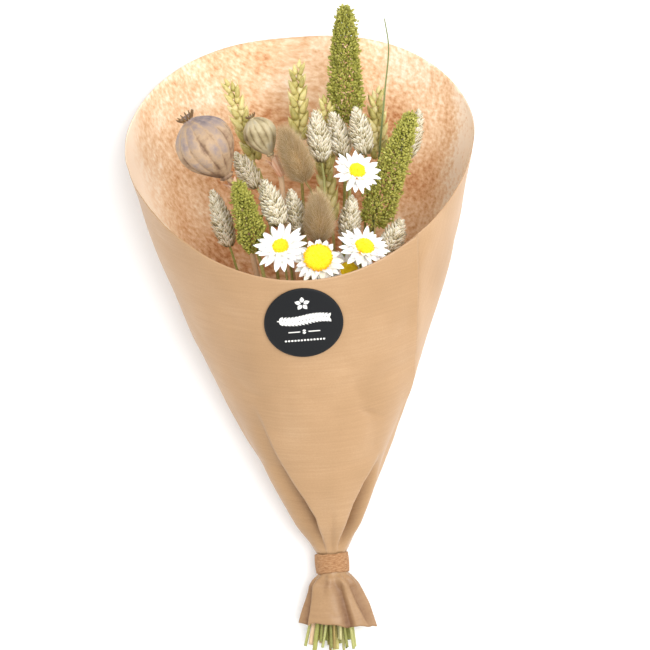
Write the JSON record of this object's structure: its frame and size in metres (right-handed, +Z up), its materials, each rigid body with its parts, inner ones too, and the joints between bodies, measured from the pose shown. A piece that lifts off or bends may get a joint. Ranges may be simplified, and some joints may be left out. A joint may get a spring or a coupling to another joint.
{
  "type": "bunch of dried flowers",
  "caption": "Cone of kraft paper tied at the neck and laid on its back, holding dried daisies, wheat, foxtail, canary grass, bunny tails and poppy seed heads.",
  "frame": {"origin": "middle of the footprint, on the surface that the back wall of the wrap rests on", "axes": "+Y from the cut ends through the tie to the flowers, +Z up out of the front of the wrap, +X to the right when seen from above with the flowers at the top"},
  "size_m": [0.2316, 0.4264, 0.1288],
  "materials": {
    "kraft_paper": "matte",
    "paper_ribbon": "matte",
    "label_paper": "satin",
    "foxtail_stem": "matte",
    "foxtail_head": "matte",
    "wheat_stem": "matte",
    "wheat_head": "matte",
    "poppy_stem": "matte",
    "poppy_head": "matte",
    "bunny_tail_stem": "matte",
    "bunny_tail_head": "matte",
    "canary_grass_stem": "matte",
    "canary_grass_head": "matte",
    "daisy_stem": "matte",
    "daisy_head": "matte",
    "grass_blade": "matte"
  },
  "bodies": {
    "root": {"bunny_tail_1_head": "bunny_tail_head", "bunny_tail_1_stem": "bunny_tail_stem", "bunny_tail_2_head": "bunny_tail_head", "bunny_tail_2_stem": "bunny_tail_stem", "bunny_tail_3_head": "bunny_tail_head", "bunny_tail_3_stem": "bunny_tail_stem", "canary_grass_10_head": "canary_grass_head", "canary_grass_10_stem": "canary_grass_stem", "canary_grass_1_head": "canary_grass_head", "canary_grass_1_stem": "canary_grass_stem", "canary_grass_2_head": "canary_grass_head", "canary_grass_2_stem": "canary_grass_stem", "canary_grass_3_head": "canary_grass_head", "canary_grass_3_stem": "canary_grass_stem", "canary_grass_4_head": "canary_grass_head", "canary_grass_4_stem": "canary_grass_stem", "canary_grass_5_head": "canary_grass_head", "canary_grass_5_stem": "canary_grass_stem", "canary_grass_6_head": "canary_grass_head", "canary_grass_6_stem": "canary_grass_stem", "canary_grass_7_head": "canary_grass_head", "canary_grass_7_stem": "canary_grass_stem", "canary_grass_8_head": "canary_grass_head", "canary_grass_8_stem": "canary_grass_stem", "canary_grass_9_head": "canary_grass_head", "canary_grass_9_stem": "canary_grass_stem", "daisy_1_head": "daisy_head", "daisy_1_stem": "daisy_stem", "daisy_2_head": "daisy_head", "daisy_2_stem": "daisy_stem", "daisy_3_head": "daisy_head", "daisy_3_stem": "daisy_stem", "daisy_4_head": "daisy_head", "daisy_4_stem": "daisy_stem", "daisy_5_head": "daisy_head", "daisy_5_stem": "daisy_stem", "foxtail_1_head": "foxtail_head", "foxtail_1_stem": "foxtail_stem", "foxtail_2_head": "foxtail_head", "foxtail_2_stem": "foxtail_stem", "foxtail_3_head": "foxtail_head", "foxtail_3_stem": "foxtail_stem", "grass_blade": "grass_blade", "paper_wrap": "kraft_paper", "poppy_1_head": "poppy_head", "poppy_1_stem": "poppy_stem", "poppy_2_head": "poppy_head", "poppy_2_stem": "poppy_stem", "round_label": "label_paper", "tie_band": "paper_ribbon", "wheat_1_head": "wheat_head", "wheat_1_stem": "wheat_stem", "wheat_2_head": "wheat_head", "wheat_2_stem": "wheat_stem", "wheat_3_head": "wheat_head", "wheat_3_stem": "wheat_stem", "wheat_4_head": "wheat_head", "wheat_4_stem": "wheat_stem", "wheat_5_head": "wheat_head", "wheat_5_stem": "wheat_stem"}
  },
  "joints": []
}
